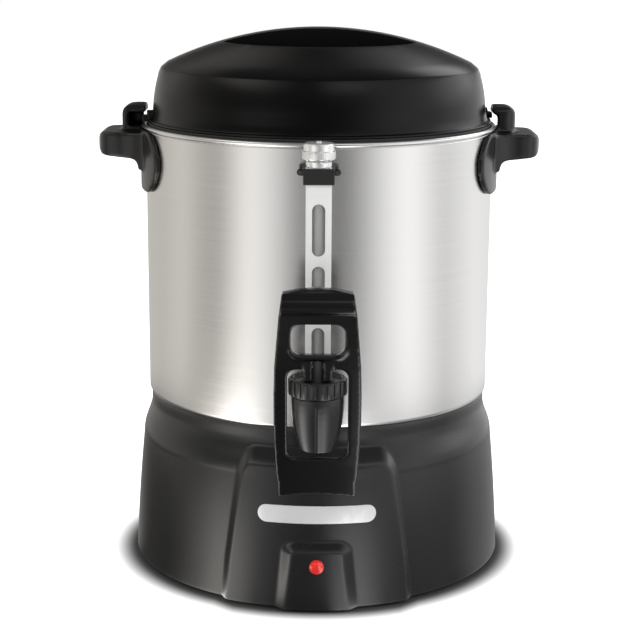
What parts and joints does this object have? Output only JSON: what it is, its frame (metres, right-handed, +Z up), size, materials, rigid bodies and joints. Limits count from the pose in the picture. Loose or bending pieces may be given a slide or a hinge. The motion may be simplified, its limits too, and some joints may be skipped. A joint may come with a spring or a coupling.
{
  "type": "coffee urn",
  "caption": "Percolator urn with an aluminium tank, a moulded base, a twist-lock lid, side handles, a sight gauge and a cup-press tap.",
  "frame": {"origin": "on the tank's axis, in the plane that the rubber feet stand on, 2 mm below the base's lower ring", "axes": "+Z up along the tank's axis, -Y towards the tap, +X to the right as seen from the front"},
  "size_m": [0.2868, 0.2966, 0.3504],
  "materials": {
    "base_plastic": "satin moulded black",
    "cover_metal": "plain sheet",
    "foot_rubber": "matt",
    "badge_metal": "satin silver, blank",
    "lens_red": "faceted translucent red",
    "lamp_body": "plain",
    "inlet_plastic": "moulded black",
    "pin_brass": "plain",
    "screw_steel": "plated",
    "tank_aluminium": "brushed",
    "handle_plastic": "satin moulded black",
    "gauge_glass": "clear tube",
    "shield_metal": "satin bright",
    "cap_metal": "polished",
    "collar_plastic": "moulded black",
    "rivet_metal": "dark",
    "seal_silicone": "translucent grey",
    "tap_plastic": "moulded black",
    "stem_plastic": "dark grey",
    "spring_steel": "bright wire",
    "lever_plastic": "glossy moulded black",
    "pin_steel": "bright",
    "well_aluminium": "drawn",
    "nut_steel": "plated",
    "heater_metal": "oxidised",
    "thermostat_plastic": "brown moulded",
    "fuse_metal": "plated",
    "wire_sleeve": "woven sleeve",
    "basket_aluminium": "satin",
    "lid_plastic": "satin black",
    "lid_rubber": "matt"
  },
  "bodies": {
    "urn": {"base_shell": "base_plastic", "bottom_cover": "cover_metal", "rubber_feet": "foot_rubber", "badge_plate": "badge_metal", "pilot_lens": "lens_red", "pilot_lamp": "lamp_body", "power_inlet": "inlet_plastic", "inlet_pins": "pin_brass", "inlet_screws": "screw_steel", "tank": "tank_aluminium", "handle_left": "handle_plastic", "handle_right": "handle_plastic", "handle_screws": "screw_steel", "gauge_glass": "gauge_glass", "gauge_shield": "shield_metal", "gauge_cap": "cap_metal", "gauge_collar": "collar_plastic", "gauge_rivets": "rivet_metal", "gauge_seals": "seal_silicone", "tap_body": "tap_plastic", "tap_outer_seal": "seal_silicone", "tap_inner_seal": "seal_silicone", "tap_nut": "tap_plastic", "bonnet": "tap_plastic", "valve_spring": "spring_steel", "pump_well": "well_aluminium", "well_gasket": "seal_silicone", "well_nut": "nut_steel", "heater_block": "heater_metal", "heater_terminals": "pin_brass", "warming_element": "heater_metal", "thermostat": "thermostat_plastic", "thermal_fuse": "fuse_metal", "tie_rod": "screw_steel", "tie_nut": "screw_steel", "lead_wires": "wire_sleeve", "basket": "basket_aluminium", "basket_cover": "basket_aluminium", "pump_stem": "basket_aluminium", "pump_foot": "basket_aluminium"},
    "seal": {"lid_seal": "lid_rubber"},
    "lid": {"lid_shell": "lid_plastic"},
    "stem": {"valve_stem": "stem_plastic", "seat_cup": "seal_silicone"},
    "lever": {"lever": "lever_plastic", "lever_pin": "pin_steel"}
  },
  "joints": [
    {"name": "lid_lift", "type": "slide", "parent": "urn", "child": "seal", "axis": [0, 0, 1], "range_m": [0, 0.18]},
    {"name": "lid_twist", "type": "hinge", "parent": "seal", "child": "lid", "pos_m": [0, 0, 0.29], "axis": [0, 0, 1], "range_deg": [-9.8, 0]},
    {"name": "stem_lift", "type": "slide", "parent": "urn", "child": "stem", "axis": [0, 0, 1], "range_m": [0, 0.00188], "stiffness_N_per_m": 600, "springref_m": -0.004, "deforming": ["valve_spring"]},
    {"name": "lever_press", "type": "hinge", "parent": "stem", "child": "lever", "pos_m": [0, -0.15, 0.162], "axis": [1, 0, 0], "range_deg": [0, 12]}
  ],
  "couplings": [
    {"joint": "lever_press", "follows": "stem_lift", "rad_per_m": 111.1}
  ]
}
